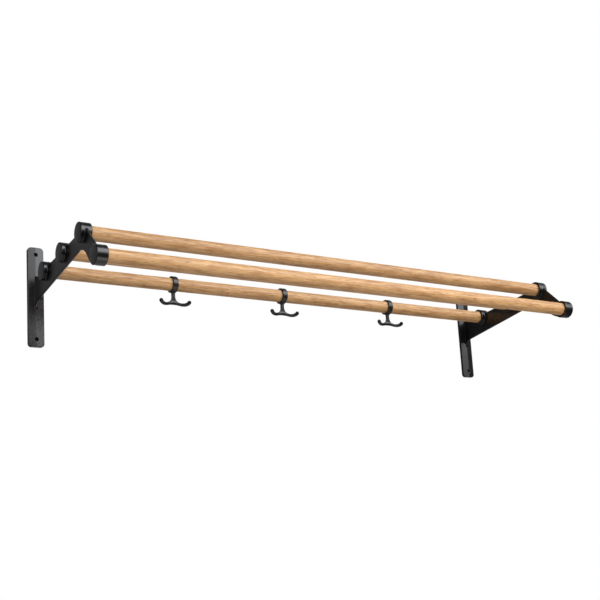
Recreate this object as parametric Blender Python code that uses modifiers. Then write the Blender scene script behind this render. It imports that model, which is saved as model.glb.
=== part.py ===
"""Hat shelf: two cast wall brackets, four round rods and three hooks that slide on the rear rod.

Metres, +Z up. X runs along the rods, the wall is the plane Y = 0 and the shelf stands out towards -Y.
The origin is on the wall, midway between the brackets, at half the height of their plates.
"""

import math

import bmesh
import bpy
from mathutils import Matrix, Vector

# Whole shelf
SHELF_WIDTH = 1.000
ROD_DIAMETER = 0.024

# Rod axes, seen from the end: a gently rising row of three and one rod in front of it and lower
REAR_ROD_OUT = 0.0617
REAR_ROD_UP = 0.0310
ROW_STEP_OUT = 0.0896
ROW_STEP_UP = 0.0059
FRONT_STEP_OUT = 0.0653
FRONT_STEP_DOWN = 0.0568

# Bosses with the blind sockets that hold the rod ends
BOSS_LENGTH = 0.019
BOSS_WALL = 0.0042
BOSS_RIM = 0.0010
SOCKET_FLOOR = 0.005
SOCKET_CLEARANCE = 0.0003

# Wall plate, with a ridge down the middle of its front
PLATE_WIDTH = 0.0290
PLATE_HEIGHT = 0.1803
PLATE_EDGE = 0.0060
PLATE_RIDGE = 0.0080
PLATE_CORNER = 0.0065
PLATE_EDGE_ROUND = 0.0008
SCREW_HOLE_DIAMETER = 0.0065
SCREW_HOLE_INSET = 0.0136

# Web between the plate and the bosses, with a leg from the top boss down to the front one
WEB_THICKNESS = 0.0040
WEB_ABOVE_ROW = 0.0053
WEB_BELOW_REAR_ROD = 0.0410
UNDERSIDE_RISE = math.radians(7.2)
LEG_FRONT_AT_ROW = 0.0119
LEG_FRONT_AT_BOSS = 0.0075
LEG_BACK_AT_ROW = 0.0132
LEG_BACK_AT_BOSS = 0.0300
NOTCH_RADIUS = 0.045
HEEL_BACK = 0.0335
HEEL_RADIUS = 0.060
ROOT_RADIUS_TOP = 0.008
ROOT_RADIUS_BOTTOM = 0.020
ROOT_SINK = 0.0003

# Double hooks
HOOK_POSITIONS = {"hook_left": -0.2475, "hook_centre": -0.0167, "hook_right": 0.2340}
RING_CLEARANCE = 0.0004
RING_WALL = 0.0031
RING_WIDTH = 0.0100
RING_EDGE = 0.0010
STEM_LENGTH = 0.0193
STEM_WIDTH = 0.0054
STEM_THICKNESS = 0.0038
STEM_FLARE = 0.0065
PRONG_DIAMETER = 0.0050
PRONG_TIP_DIAMETER = 0.0064
PRONG_REACH = 0.0280
PRONG_LOW_AT = 0.0190
PRONG_DIP = 0.0032
PRONG_RISE = 0.0012
PRONG_FORWARD = 0.0085
PRONG_TURN = math.radians(76)

# Facets of round shapes
ROUND_STEPS = 32
ARC_STEPS = 6
RIM_STEPS = 2
PRONG_STEPS = 5
TIP_STEPS = 3
TUBE_RESOLUTION = 2

# Largest share of an edge that a corner's arc takes
ARC_SHARE = 0.98
# Length of the web's contact with the ridge past each of its corners, in radii of that corner
ROOT_RUN = 1.4
OVERLAP = 0.002
MERGE = 0.00001

COATING = ((0.030, 0.030, 0.032, 1.0), 0.42, 0.0)
OAK = ((0.560, 0.350, 0.170, 1.0), 0.55, 0.0)

ROD_RADIUS = ROD_DIAMETER / 2
SOCKET_RADIUS = ROD_RADIUS + SOCKET_CLEARANCE
SOCKET_DEPTH = BOSS_LENGTH - SOCKET_FLOOR
BOSS_RADIUS = SOCKET_RADIUS + BOSS_WALL
BRACKET_X = SHELF_WIDTH / 2 - PLATE_WIDTH / 2
ROD_LENGTH = 2 * (BRACKET_X - BOSS_LENGTH / 2 + SOCKET_DEPTH - SOCKET_CLEARANCE)
HOLE_UP = PLATE_HEIGHT / 2 - SCREW_HOLE_INSET
RING_BORE_RADIUS = ROD_RADIUS + RING_CLEARANCE
RING_RADIUS = RING_BORE_RADIUS + RING_WALL
PRONG_DROP = RING_RADIUS + STEM_LENGTH

# Points of the brackets' own plane are (out from the wall, up)
REAR = Vector((-REAR_ROD_OUT, REAR_ROD_UP))
ROW_STEP = Vector((-ROW_STEP_OUT, ROW_STEP_UP))
MIDDLE = REAR + ROW_STEP
TOP = MIDDLE + ROW_STEP
FRONT = TOP + Vector((-FRONT_STEP_OUT, -FRONT_STEP_DOWN))
ROD_AXES = {"rod_rear": REAR, "rod_middle": MIDDLE, "rod_top": TOP, "rod_front": FRONT}

# Outlines are drawn in local XY and turned into the world's YZ or XZ plane
YZ_PLANE = Matrix(((0, 0, 1, 0), (1, 0, 0, 0), (0, 1, 0, 0), (0, 0, 0, 1)))
XZ_PLANE = Matrix(((1, 0, 0, 0), (0, 0, -1, 0), (0, 1, 0, 0), (0, 0, 0, 1)))
XY_PLANE = Matrix.Identity(4)
ALONG_X = Matrix.Rotation(math.pi / 2, 4, "Y")
ALONG_Y = Matrix.Rotation(math.pi / 2, 4, "X")


def clear_scene():
    """Remove every object of the open scene."""
    for thing in list(bpy.data.objects):
        bpy.data.objects.remove(thing, do_unlink=True)


def make_collection(name):
    """Return a new collection linked to the scene."""
    collection = bpy.data.collections.new(name)
    bpy.context.scene.collection.children.link(collection)
    return collection


def make_material(name, look):
    """Return a Principled material with the look's colour, roughness and metallic value."""
    colour, roughness, metallic = look
    material = bpy.data.materials.new(name)
    material.use_nodes = True
    shader = material.node_tree.nodes["Principled BSDF"]
    shader.inputs["Base Color"].default_value = colour
    shader.inputs["Roughness"].default_value = roughness
    shader.inputs["Metallic"].default_value = metallic
    material.diffuse_color = colour
    return material


def finish_part(part, look):
    """Give a part its own material and smooth shading with sharp edges kept."""
    part.data.materials.clear()
    part.data.materials.append(make_material(part.name + "_finish", look))
    part.data.shade_smooth()
    part.data.set_sharp_from_angle(angle=math.radians(35))


def as_mesh_object(source, name, collection):
    """Replace a curve, or an object with modifiers, by a welded mesh object in the same place."""
    graph = bpy.context.evaluated_depsgraph_get()
    mesh = bpy.data.meshes.new_from_object(source.evaluated_get(graph))
    mesh.name = name
    shape = bmesh.new()
    shape.from_mesh(mesh)
    bmesh.ops.remove_doubles(shape, verts=shape.verts, dist=MERGE)
    bmesh.ops.recalc_face_normals(shape, faces=shape.faces)
    shape.to_mesh(mesh)
    shape.free()
    place = source.matrix_world.copy()
    bpy.data.objects.remove(source, do_unlink=True)
    result = bpy.data.objects.new(name, mesh)
    result.matrix_world = place
    collection.objects.link(result)
    return result


def combine(part, other, operation):
    """Join a construction shape to a part, or cut it out of the part."""
    other.hide_render = True
    other.display_type = "WIRE"
    boolean = part.modifiers.new(other.name, "BOOLEAN")
    boolean.operation = operation
    boolean.solver = "EXACT"
    boolean.object = other


def rounded(corners):
    """Return outline points for (point, radius) corners, each corner with a radius made an arc."""
    points = []
    count = len(corners)
    for index, (corner, radius) in enumerate(corners):
        corner = Vector(corner)
        if radius == 0:
            points.append(corner)
            continue
        last_point, last_radius = corners[index - 1]
        next_point, next_radius = corners[(index + 1) % count]
        before = Vector(last_point) - corner
        after = Vector(next_point) - corner
        room_before = before.length * (ARC_SHARE / 2 if last_radius else ARC_SHARE)
        room_after = after.length * (ARC_SHARE / 2 if next_radius else ARC_SHARE)
        half = before.angle(after) / 2
        reach = min(radius / math.tan(half), room_before, room_after)
        start = corner + before.normalized() * reach
        end = corner + after.normalized() * reach
        middle = (before.normalized() + after.normalized()).normalized()
        centre = corner + middle * (reach / math.cos(half))
        turn = (start - centre).angle_signed(end - centre)
        for step in range(ARC_STEPS + 1):
            spin = Matrix.Rotation(-turn * step / ARC_STEPS, 2)
            points.append(centre + spin @ (start - centre))
    return points


def meeting_point(point_a, direction_a, point_b, direction_b):
    """Return where two lines of one plane cross."""
    cross = direction_a.x * direction_b.y - direction_a.y * direction_b.x
    offset = point_b - point_a
    along = (offset.x * direction_b.y - offset.y * direction_b.x) / cross
    return point_a + direction_a * along


def touching_point(outside, centre, radius):
    """Return where a line from an outside point touches the underside of a circle."""
    offset = outside - centre
    spread = math.acos(radius / offset.length)
    return centre + Matrix.Rotation(-spread, 2) @ offset.normalized() * radius


def flat_shape(name, points, thickness, plane, place, collection):
    """Return a flat solid: an outline filled and extruded about its plane."""
    curve = bpy.data.curves.new(name, "CURVE")
    curve.dimensions = "2D"
    curve.fill_mode = "BOTH"
    curve.extrude = thickness / 2
    spline = curve.splines.new("POLY")
    spline.points.add(len(points) - 1)
    for target, point in zip(spline.points, points):
        target.co = (point[0], point[1], 0, 1)
    spline.use_cyclic_u = True
    thing = bpy.data.objects.new(name, curve)
    thing.matrix_world = Matrix.Translation(place) @ plane
    collection.objects.link(thing)
    bpy.context.view_layer.update()
    return as_mesh_object(thing, name, collection)


def turned_shape(name, profile, place, collection):
    """Return a solid turned about an X axis; the profile is (radius, along), top to bottom."""
    mesh = bpy.data.meshes.new(name)
    vertices = [(radius, 0, along) for radius, along in profile]
    edges = [(index, index + 1) for index in range(len(profile) - 1)]
    mesh.from_pydata(vertices, edges, [])
    thing = bpy.data.objects.new(name, mesh)
    thing.matrix_world = Matrix.Translation(place) @ ALONG_X
    collection.objects.link(thing)
    screw = thing.modifiers.new("turn", "SCREW")
    screw.axis = "Z"
    screw.angle = math.tau
    screw.steps = ROUND_STEPS
    screw.render_steps = ROUND_STEPS
    screw.use_merge_vertices = True
    screw.merge_threshold = MERGE
    bpy.context.view_layer.update()
    return as_mesh_object(thing, name, collection)


def round_bar(name, radius, length, place, direction, collection):
    """Return a plain cylinder along a direction, centred on a place."""
    bpy.ops.mesh.primitive_cylinder_add(vertices=ROUND_STEPS, radius=radius, depth=length)
    thing = bpy.context.active_object
    thing.name = name
    thing.data.name = name
    for owner in list(thing.users_collection):
        owner.objects.unlink(thing)
    collection.objects.link(thing)
    thing.matrix_world = Matrix.Translation(place) @ direction
    return thing


def rim_arc(radius, edge, rim):
    """Return the profile points of a rounded rim, from the end face to the outer wall."""
    points = []
    for step in range(RIM_STEPS + 1):
        angle = math.pi / 2 * step / RIM_STEPS
        points.append((radius - rim + rim * math.sin(angle), edge - rim + rim * math.cos(angle)))
    return points


def boss_profile(side):
    """Return a boss with its blind socket; the closed end points away from the other bracket."""
    half = BOSS_LENGTH / 2
    outer_rim = rim_arc(BOSS_RADIUS, half, BOSS_RIM)
    inner_rim = [(radius, -along) for radius, along in reversed(outer_rim)]
    floor = SOCKET_DEPTH - half
    socket = [(SOCKET_RADIUS, -half), (SOCKET_RADIUS, floor), (0, floor)]
    profile = [(0, half)] + outer_rim + inner_rim + socket
    if side < 0:
        profile = [(radius, -along) for radius, along in reversed(profile)]
    return profile


def web_outline():
    """Return the web's outline in the YZ plane, from the plate out to the front boss and back."""
    up = Vector((0, 1))
    ridge_fall = (PLATE_RIDGE - PLATE_EDGE) * WEB_THICKNESS / PLATE_WIDTH
    ridge = Vector((-PLATE_RIDGE + ridge_fall + ROOT_SINK, 0))
    inside = -PLATE_EDGE / 2
    row = ROW_STEP.normalized()
    above_row = Vector((row.y, -row.x))
    leg = (FRONT - TOP).normalized()
    ahead = Vector((leg.y, -leg.x))
    leg_front_top = TOP + ahead * LEG_FRONT_AT_ROW
    leg_front_end = FRONT + ahead * LEG_FRONT_AT_BOSS
    leg_front = leg_front_end - leg_front_top
    leg_back_top = TOP - ahead * LEG_BACK_AT_ROW
    leg_back = FRONT - ahead * LEG_BACK_AT_BOSS - leg_back_top
    under = Vector((-math.cos(UNDERSIDE_RISE), math.sin(UNDERSIDE_RISE)))
    root_low = Vector((ridge.x, REAR.y - WEB_BELOW_REAR_ROD))
    root_top = meeting_point(TOP + above_row * WEB_ABOVE_ROW, row, ridge, up)
    peak = meeting_point(TOP + above_row * WEB_ABOVE_ROW, row, leg_front_top, leg_front)
    notch = meeting_point(root_low, under, leg_back_top, leg_back)
    heel = meeting_point(leg_back_top, leg_back, FRONT + Vector((HEEL_BACK, 0)), up)
    toe = touching_point(heel, FRONT, BOSS_RADIUS - BOSS_RIM)
    above_root = root_top.y + ROOT_RUN * ROOT_RADIUS_TOP
    below_root = root_low.y - ROOT_RUN * ROOT_RADIUS_BOTTOM
    return rounded([
        ((inside, above_root), 0),
        ((ridge.x, above_root), 0),
        (root_top, ROOT_RADIUS_TOP),
        (peak, 0),
        (leg_front_end, 0),
        (FRONT, 0),
        (toe, 0),
        (heel, HEEL_RADIUS),
        (notch, NOTCH_RADIUS),
        (root_low, ROOT_RADIUS_BOTTOM),
        ((ridge.x, below_root), 0),
        ((inside, below_root), 0),
    ])


def make_plate(name, place, parts, cutters):
    """Return a wall plate: a rounded blank with two facets that meet in a ridge down its front."""
    half = PLATE_WIDTH / 2
    tall = PLATE_HEIGHT / 2
    face = rounded([
        ((-half, -tall), PLATE_CORNER),
        ((half, -tall), PLATE_CORNER),
        ((half, tall), PLATE_CORNER),
        ((-half, tall), PLATE_CORNER),
    ])
    thickness = PLATE_RIDGE + OVERLAP
    plate = flat_shape(name, face, thickness, XZ_PLANE, place - Vector((0, thickness / 2, 0)), parts)
    # The facets' section runs on to twice the plate's half width
    edge_out = 2 * PLATE_EDGE - PLATE_RIDGE
    section = [
        (-PLATE_WIDTH, OVERLAP),
        (-PLATE_WIDTH, -edge_out),
        (0, -PLATE_RIDGE),
        (PLATE_WIDTH, -edge_out),
        (PLATE_WIDTH, OVERLAP),
    ]
    facets = flat_shape(name + "_facets", section, PLATE_HEIGHT + OVERLAP, XY_PLANE, place, cutters)
    combine(plate, facets, "INTERSECT")
    edges = plate.modifiers.new("edges", "BEVEL")
    edges.width = PLATE_EDGE_ROUND
    edges.segments = 2
    edges.limit_method = "ANGLE"
    edges.angle_limit = math.radians(40)
    return plate


def make_web(name, place, cutters):
    """Return the web with a hole through it inside every boss wall."""
    web = flat_shape(name, web_outline(), WEB_THICKNESS, YZ_PLANE, place, cutters)
    hole_radius = SOCKET_RADIUS + BOSS_WALL / 2
    for rod_name, axis in ROD_AXES.items():
        centre = Vector((place.x, *axis))
        hole = round_bar(name + "_hole_" + rod_name, hole_radius, BOSS_LENGTH, centre, ALONG_X, cutters)
        combine(web, hole, "DIFFERENCE")
    return web


def make_bracket(name, side, parts, cutters):
    """Return one bracket casting; side is -1 for the left one and 1 for the right one."""
    middle = Vector((side * BRACKET_X, 0, 0))
    bracket = make_plate(name, middle, parts, cutters)
    for end, level in (("top", HOLE_UP), ("bottom", -HOLE_UP)):
        place = Vector((middle.x, -PLATE_RIDGE / 2, level))
        length = PLATE_RIDGE + OVERLAP
        hole = round_bar(name + "_screw_" + end, SCREW_HOLE_DIAMETER / 2, length, place, ALONG_Y, cutters)
        combine(bracket, hole, "DIFFERENCE")
    combine(bracket, make_web(name + "_web", middle, cutters), "UNION")
    for rod_name, axis in ROD_AXES.items():
        centre = Vector((middle.x, *axis))
        boss = turned_shape(name + "_boss_" + rod_name, boss_profile(side), centre, cutters)
        combine(bracket, boss, "UNION")
    finish_part(bracket, COATING)


def make_rod(name, axis, parts):
    """Make one rod, centred between the brackets."""
    rod = round_bar(name, ROD_RADIUS, ROD_LENGTH, Vector((0, *axis)), ALONG_X, parts)
    finish_part(rod, OAK)


def prong_point(across, down):
    """Return a point of the prongs' middle line, which comes forward towards the tips, and its radius."""
    share = across / PRONG_REACH
    diameter = PRONG_DIAMETER + (PRONG_TIP_DIAMETER - PRONG_DIAMETER) * share ** 2
    return Vector((across, -PRONG_FORWARD * share ** 2, -PRONG_DROP - down)), diameter / 2


def prong_path():
    """Return points and radii of one prong: it dips away from the stem, then turns up to a round tip."""
    path = []
    for step in range(PRONG_STEPS + 1):
        share = step / PRONG_STEPS
        path.append(prong_point(PRONG_LOW_AT * share, PRONG_DIP * math.sin(math.pi / 2 * share) ** 2))
    for step in range(1, PRONG_STEPS + 1):
        angle = PRONG_TURN * step / PRONG_STEPS
        across = (PRONG_REACH - PRONG_LOW_AT) * math.sin(angle) / math.sin(PRONG_TURN)
        lift = (PRONG_DIP + PRONG_RISE) * (1 - math.cos(angle)) / (1 - math.cos(PRONG_TURN))
        path.append(prong_point(PRONG_LOW_AT + across, PRONG_DIP - lift))
    tip, radius = path[-1]
    outward = (tip - path[-2][0]).normalized()
    for step in range(1, TIP_STEPS + 1):
        angle = math.pi / 2 * step / (TIP_STEPS + 1)
        path.append((tip + outward * (radius * math.sin(angle)), radius * math.cos(angle)))
    return path


def make_prongs(name, place, collection):
    """Return both prongs as one bent round bar with rounded tips."""
    right = prong_path()
    left = [(Vector((-point.x, point.y, point.z)), radius) for point, radius in reversed(right)]
    path = left[:-1] + right
    curve = bpy.data.curves.new(name, "CURVE")
    curve.dimensions = "3D"
    curve.bevel_depth = 1.0
    curve.bevel_resolution = TUBE_RESOLUTION
    curve.use_fill_caps = True
    spline = curve.splines.new("POLY")
    spline.points.add(len(path) - 1)
    for target, (point, radius) in zip(spline.points, path):
        target.co = (*point, 1)
        target.radius = radius
    thing = bpy.data.objects.new(name, curve)
    thing.matrix_world = Matrix.Translation(place)
    collection.objects.link(thing)
    bpy.context.view_layer.update()
    return as_mesh_object(thing, name, collection)


def stem_outline():
    """Return the stem's outline in the XZ plane, from inside the ring to its flared foot in the prongs."""
    half = STEM_WIDTH / 2
    foot = half + STEM_FLARE
    low = -PRONG_DROP
    toe = low + PRONG_DIAMETER / 4
    high = -RING_BORE_RADIUS - RING_WALL / 2
    return rounded([
        ((-foot, low), 0),
        ((foot, low), 0),
        ((foot, toe), 0),
        ((half, toe), STEM_FLARE),
        ((half, high), 0),
        ((-half, high), 0),
        ((-half, toe), STEM_FLARE),
        ((-foot, toe), 0),
    ])


def make_hook(name, along, parts, cutters):
    """Make one double hook, its origin on the rear rod's axis."""
    place = Vector((along, *REAR))
    half = RING_WIDTH / 2
    section = [(RING_BORE_RADIUS, half)] + rim_arc(RING_RADIUS, half, RING_EDGE)
    section += [(radius, -level) for radius, level in reversed(section)]
    section.append(section[0])
    hook = turned_shape(name, section, place, parts)
    stem = flat_shape(name + "_stem", stem_outline(), STEM_THICKNESS, XZ_PLANE, place, cutters)
    combine(hook, stem, "UNION")
    combine(hook, make_prongs(name + "_prongs", place, cutters), "UNION")
    finish_part(hook, COATING)


def main():
    """Build the shelf."""
    clear_scene()
    parts = make_collection("hat_shelf")
    cutters = make_collection("hat_shelf_cutters")
    make_bracket("bracket_left", -1, parts, cutters)
    make_bracket("bracket_right", 1, parts, cutters)
    for name, axis in ROD_AXES.items():
        make_rod(name, axis, parts)
    for name, along in HOOK_POSITIONS.items():
        make_hook(name, along, parts, cutters)


main()
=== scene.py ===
"""Hat shelf: cast brackets, oak rods and sliding coat hooks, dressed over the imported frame."""

import logging
import math
from dataclasses import dataclass
from enum import Enum
from functools import cached_property
from typing import Any, Callable

import bpy
import numpy as np
from mathutils import Matrix, Vector


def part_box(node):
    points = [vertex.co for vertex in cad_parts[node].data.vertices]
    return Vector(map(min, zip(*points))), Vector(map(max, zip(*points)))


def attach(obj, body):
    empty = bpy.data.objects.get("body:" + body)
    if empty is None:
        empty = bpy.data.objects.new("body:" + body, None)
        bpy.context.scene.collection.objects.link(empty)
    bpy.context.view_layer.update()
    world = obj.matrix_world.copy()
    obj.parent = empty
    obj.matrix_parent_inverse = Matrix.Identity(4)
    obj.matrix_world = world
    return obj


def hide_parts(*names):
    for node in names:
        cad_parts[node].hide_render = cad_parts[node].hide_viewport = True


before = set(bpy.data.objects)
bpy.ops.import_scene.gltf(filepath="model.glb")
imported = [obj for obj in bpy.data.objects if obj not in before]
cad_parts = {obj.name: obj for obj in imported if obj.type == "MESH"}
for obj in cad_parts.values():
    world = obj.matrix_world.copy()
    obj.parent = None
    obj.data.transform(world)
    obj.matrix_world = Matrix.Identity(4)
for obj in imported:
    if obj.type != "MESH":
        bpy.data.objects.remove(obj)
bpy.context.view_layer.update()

log = logging.getLogger("hat_shelf")

Colour = tuple[float, float, float]
Place = tuple[float, float, float]
Limits = tuple[float, float]
Distance = Callable[[np.ndarray, np.ndarray, np.ndarray], np.ndarray]

BACKDROP_RAYS = ("Is Camera Ray", "Is Glossy Ray", "Is Transmission Ray")
PHOTO_PIXELS = 600
WHITE = (1.0, 1.0, 1.0, 1.0)
HOOK_ROUGHNESS = 0.34

# A Mix node repeats its sockets' names for every kind of data, so its colour sockets go by number.
MIX_SHARE = 0
MIX_FIRST = 6
MIX_SECOND = 7
MIX_COLOUR = 2

# The share of a side that the arcs at its ends may take up.
ARC_ROOM = 0.98
CELL_CORNERS = 8


class Side(Enum):
    """The end of the shelf that a bracket carries, as its direction along X."""

    LEFT = -1
    RIGHT = 1


class RodPlace(Enum):
    """The CAD node of each rod, from the wall outwards."""

    REAR = "rod_rear"
    MIDDLE = "rod_middle"
    TOP = "rod_top"
    FRONT = "rod_front"


class Body(Enum):
    """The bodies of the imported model."""

    FRAME = "frame"
    LEFT_HOOK = "left_hook"
    CENTRE_HOOK = "centre_hook"
    RIGHT_HOOK = "right_hook"


class Slot(Enum):
    """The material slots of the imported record."""

    BRACKET = "bracket_coating"
    ROD = "rod_oak"
    HOOK = "hook_coating"


class Value:
    """An output socket that takes part in Python arithmetic."""

    def __init__(self, graph: "Graph", socket: bpy.types.NodeSocket) -> None:
        """Hold a socket and the graph that it belongs to."""
        self.graph = graph
        self.socket = socket

    def _math(self, operation: str, first: Any, second: Any) -> "Value":
        """Return the result of a new Math node on two values or numbers."""
        return self.graph.add("ShaderNodeMath", {"operation": operation}, {0: first, 1: second})

    def __add__(self, other: "Value | float") -> "Value":
        """Return self + other."""
        return self._math("ADD", self, other)

    def __radd__(self, other: float) -> "Value":
        """Return other + self."""
        return self._math("ADD", other, self)

    def __sub__(self, other: "Value | float") -> "Value":
        """Return self - other."""
        return self._math("SUBTRACT", self, other)

    def __rsub__(self, other: float) -> "Value":
        """Return other - self."""
        return self._math("SUBTRACT", other, self)

    def __mul__(self, other: "Value | float") -> "Value":
        """Return self * other."""
        return self._math("MULTIPLY", self, other)

    def __rmul__(self, other: float) -> "Value":
        """Return other * self."""
        return self._math("MULTIPLY", other, self)

    def __truediv__(self, other: "Value | float") -> "Value":
        """Return self / other."""
        return self._math("DIVIDE", self, other)

    def __mod__(self, other: "Value | float") -> "Value":
        """Return self modulo other."""
        return self._math("MODULO", self, other)


class Graph:
    """A node tree with one method that adds any node."""

    def __init__(self, tree: bpy.types.NodeTree) -> None:
        """Start from an empty tree."""
        self.tree = tree
        tree.nodes.clear()

    def node(
        self, kind: str, settings: dict[str, Any] | None = None, sockets: dict[str | int, Any] | None = None
    ) -> bpy.types.Node:
        """Add a node.

        Args:
            kind: Blender's name of the node's type.
            settings: The node's own settings, which are set first.
            sockets: Input sockets by name or number, each with a number, a tuple or a Value.

        Returns:
            The new node.
        """
        node = self.tree.nodes.new(kind)
        for name, setting in (settings or {}).items():
            setattr(node, name, setting)
        for name, content in (sockets or {}).items():
            if isinstance(content, Value):
                self.tree.links.new(content.socket, node.inputs[name])
            else:
                node.inputs[name].default_value = content
        return node

    def add(
        self,
        kind: str,
        settings: dict[str, Any] | None = None,
        sockets: dict[str | int, Any] | None = None,
        result: str | int = 0,
    ) -> Value:
        """Add a node as node() does.

        Args:
            kind: Blender's name of the node's type.
            settings: The node's own settings.
            sockets: Input sockets with their content.
            result: The output socket's name or number.

        Returns:
            The output socket as a Value.
        """
        return Value(self, self.node(kind, settings, sockets).outputs[result])

    def vector(self, operation: str, first: Any, second: Any, result: str = "Vector") -> Value:
        """Return what a new Vector Math node works out from two vectors."""
        return self.add("ShaderNodeVectorMath", {"operation": operation}, {0: first, 1: second}, result)

    def length(self, vector: Value) -> Value:
        """Return a vector's length."""
        return self.add("ShaderNodeVectorMath", {"operation": "LENGTH"}, {0: vector}, "Value")

    def attribute(self, name: str) -> Value:
        """Return a mesh's own mark."""
        return self.add("ShaderNodeAttribute", {"attribute_name": name}, result="Fac")

    def noise(self, place: Value, stretch: Place, detail: float, result: str = "Fac") -> Value:
        """Return noise.

        Args:
            place: Where it is read.
            stretch: The pattern's fineness along each axis.
            detail: How many finer layers it has.
            result: The output socket's name.

        Returns:
            The noise as a number or a colour.
        """
        sockets = {"Vector": self.vector("MULTIPLY", place, stretch), "Scale": 1.0, "Detail": detail}
        return self.add("ShaderNodeTexNoise", None, sockets, result)

    def ramp(self, value: Value, low: float, high: float) -> Value:
        """Return 0 below low, 1 above high and a smooth step between; low above high turns it round."""
        sockets = {"Value": value, "From Min": low, "From Max": high}
        return self.add("ShaderNodeMapRange", {"interpolation_type": "SMOOTHSTEP"}, sockets)

    def blend(self, share: Value, first: Any, second: Any) -> Value:
        """Blend two colours.

        Args:
            share: The second colour's share, from 0 to 1.
            first: A colour or a Value.
            second: A colour or a Value.

        Returns:
            The blended colour.
        """
        settings = {"data_type": "RGBA", "clamp_factor": True}
        first = first if isinstance(first, Value) else (*first, 1.0)
        second = second if isinstance(second, Value) else (*second, 1.0)
        sockets = {MIX_SHARE: share, MIX_FIRST: first, MIX_SECOND: second}
        return self.add("ShaderNodeMix", settings, sockets, MIX_COLOUR)

    def mixed(self, share: Value, first: Value, second: Value) -> Value:
        """Return two shaders mixed by the second one's share."""
        return self.add("ShaderNodeMixShader", None, {0: share, 1: first, 2: second})

    def rays(self, kinds: tuple[str, ...]) -> Value:
        """Return 1 for rays of the named kinds and 0 for all others."""
        path = self.node("ShaderNodeLightPath")
        return sum(Value(self, path.outputs[kind]) for kind in kinds)

    def dress(self, colour: Value, roughness: Value, bump: dict[str, Any], specular: float) -> None:
        """Close a material's tree with its shader and output.

        Args:
            colour: The base colour.
            roughness: The roughness.
            bump: The Bump node's Height, Strength and Distance.
            specular: The specular level.
        """
        sockets = {
            "Base Color": colour,
            "Roughness": roughness,
            "Normal": self.add("ShaderNodeBump", None, bump),
            "Specular IOR Level": specular,
        }
        shader = self.add("ShaderNodeBsdfPrincipled", None, sockets)
        self.node("ShaderNodeOutputMaterial", None, {"Surface": shader})


def new_material(name: str) -> tuple[bpy.types.Material, Graph]:
    """Start a node material.

    Args:
        name: The material's name.

    Returns:
        The material and the graph of its empty tree.
    """
    material = bpy.data.materials.new(name)
    material.use_nodes = True
    return material, Graph(material.node_tree)


def new_object(name: str, data: bpy.types.ID) -> bpy.types.Object:
    """Add an object to the scene.

    Args:
        name: The object's name.
        data: Its mesh, lamp or camera.

    Returns:
        The new object at the origin.
    """
    made = bpy.data.objects.new(name, data)
    bpy.context.scene.collection.objects.link(made)
    return made


@dataclass(frozen=True)
class PowderCoat:
    """Satin black powder coat on a casting, a little smoother along its edges, which are lighter partly as
    thinner, worn coat and partly as painted sheen; inside the screw holes it is darker as painted shade.
    """

    name: str
    tone: Colour = (0.0022, 0.0022, 0.0026)
    pale_tone: Colour = (0.0040, 0.0040, 0.0046)
    edge_tone: Colour = (0.012, 0.012, 0.013)
    # Painted shade: the colour and extra roughness of the coat inside the screw holes, so they read as dark
    # recesses.
    pit_tone: Colour = (0.002, 0.002, 0.002)
    specular: float = 0.52
    roughness: float = 0.26
    roughness_spread: float = 0.04
    edge_polish: float = 0.05
    pit_roughness: float = 0.50
    cloud_scale: float = 45.0
    cloud_detail: float = 3.0
    cloud_limits: Limits = (0.3, 0.7)
    peel_scale: float = 420.0
    grit_scale: float = 1900.0
    fine_detail: float = 1.0
    speck_limits: Limits = (0.58, 0.74)
    speck_share: float = 0.35
    # Lighter along edges: partly thinner, worn coat and partly painted sheen where edges catch light.
    wear_share: float = 0.35
    wear_clouding: float = 0.5
    grit_roughness: float = 0.04
    peel_share: float = 0.7
    grit_share: float = 0.3
    peel_height: float = 0.000003
    peel_strength: float = 0.5

    def material(self) -> bpy.types.Material:
        """Return the coat as a new material."""
        material, graph = new_material(self.name)
        place = graph.add("ShaderNodeTexCoord", result="Object")
        edge = graph.attribute("edge")
        pit = graph.attribute("pit")
        clouds = graph.noise(place, (self.cloud_scale,) * 3, self.cloud_detail)
        peel = graph.noise(place, (self.peel_scale,) * 3, self.fine_detail)
        grit = graph.noise(place, (self.grit_scale,) * 3, self.fine_detail)
        speck = graph.ramp(grit, *self.speck_limits)
        # Lighter along edges, clouded: partly worn coat, partly painted sheen.
        edge_wear_and_sheen = edge * (self.wear_share + clouds * self.wear_clouding)
        tone = graph.blend(graph.ramp(clouds, *self.cloud_limits), self.tone, self.pale_tone)
        tone = graph.blend(speck * self.speck_share, tone, self.edge_tone)
        tone = graph.blend(edge_wear_and_sheen, tone, self.edge_tone)
        # Painted shade: the coat turns darker and rougher inside the screw holes.
        tone = graph.blend(pit, tone, self.pit_tone)
        roughness = self.roughness + (clouds - 0.5) * self.roughness_spread + grit * self.grit_roughness
        roughness = roughness - edge * self.edge_polish + pit * self.pit_roughness
        height = peel * self.peel_share + grit * self.grit_share
        bump = {"Height": height, "Strength": self.peel_strength, "Distance": self.peel_height}
        graph.dress(tone, roughness, bump, self.specular)
        return material


@dataclass(frozen=True)
class Knot:
    """A small dark knot in the surface of a rod."""

    along: float
    rise: float
    length: float
    width: float
    depth: float = 0.75
    core: float = 0.2
    radius: float = 0.012

    def share(self, graph: Graph, own: Value) -> Value:
        """Return how much of the knot shows at a place.

        Args:
            graph: Graph of the rod's material.
            own: The place, measured from the rod's middle.

        Returns:
            The knot's share of the colour there.
        """
        heart = (self.along, -self.radius * math.cos(self.rise), self.radius * math.sin(self.rise))
        stretch = (2 / self.length, 2 / self.width, 2 / self.width)
        away = graph.vector("MULTIPLY", graph.vector("SUBTRACT", own, heart), stretch)
        return graph.ramp(graph.length(away), 1.0, self.core) * self.depth


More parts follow.
